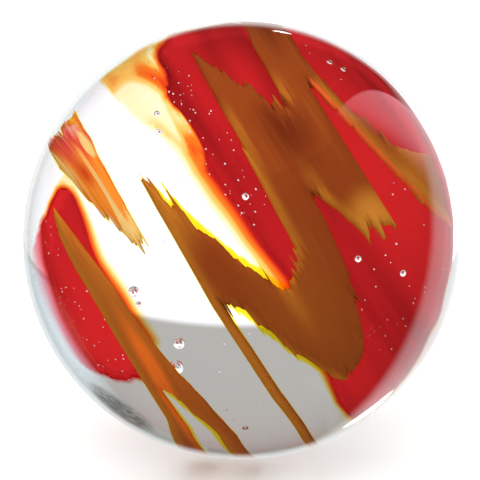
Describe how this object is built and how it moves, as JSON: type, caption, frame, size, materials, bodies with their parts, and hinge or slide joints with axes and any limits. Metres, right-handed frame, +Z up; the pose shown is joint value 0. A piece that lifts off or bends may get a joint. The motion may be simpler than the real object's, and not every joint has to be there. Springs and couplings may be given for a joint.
{
  "type": "glass marble",
  "caption": "Round clear glass ball with a folded amber ribbon, a forked amber strand, an orange wisp and red veils fused inside it, with small air bubbles.",
  "frame": {"origin": "centre of the ball", "axes": "+Z up; the face with the streaks looks along -Y and 16 degrees up; +X to the right of someone who looks at that face"},
  "size_m": [0.016, 0.016, 0.016],
  "materials": {
    "clear_glass": "fire-polished, a few fine scratches and rim pits",
    "amber_glass": "caramel coloured, nearly opaque, clear yellow at thin edges",
    "orange_glass": "striped, from red through orange to clear yellow",
    "red_glass": "deep transparent red, fading through orange at thin edges"
  },
  "bodies": {
    "root": {"clear_glass": "clear_glass", "amber_ribbon": "amber_glass", "amber_fork": "amber_glass", "orange_wisp": "orange_glass", "red_veil": "red_glass", "red_patch": "red_glass"}
  },
  "joints": []
}
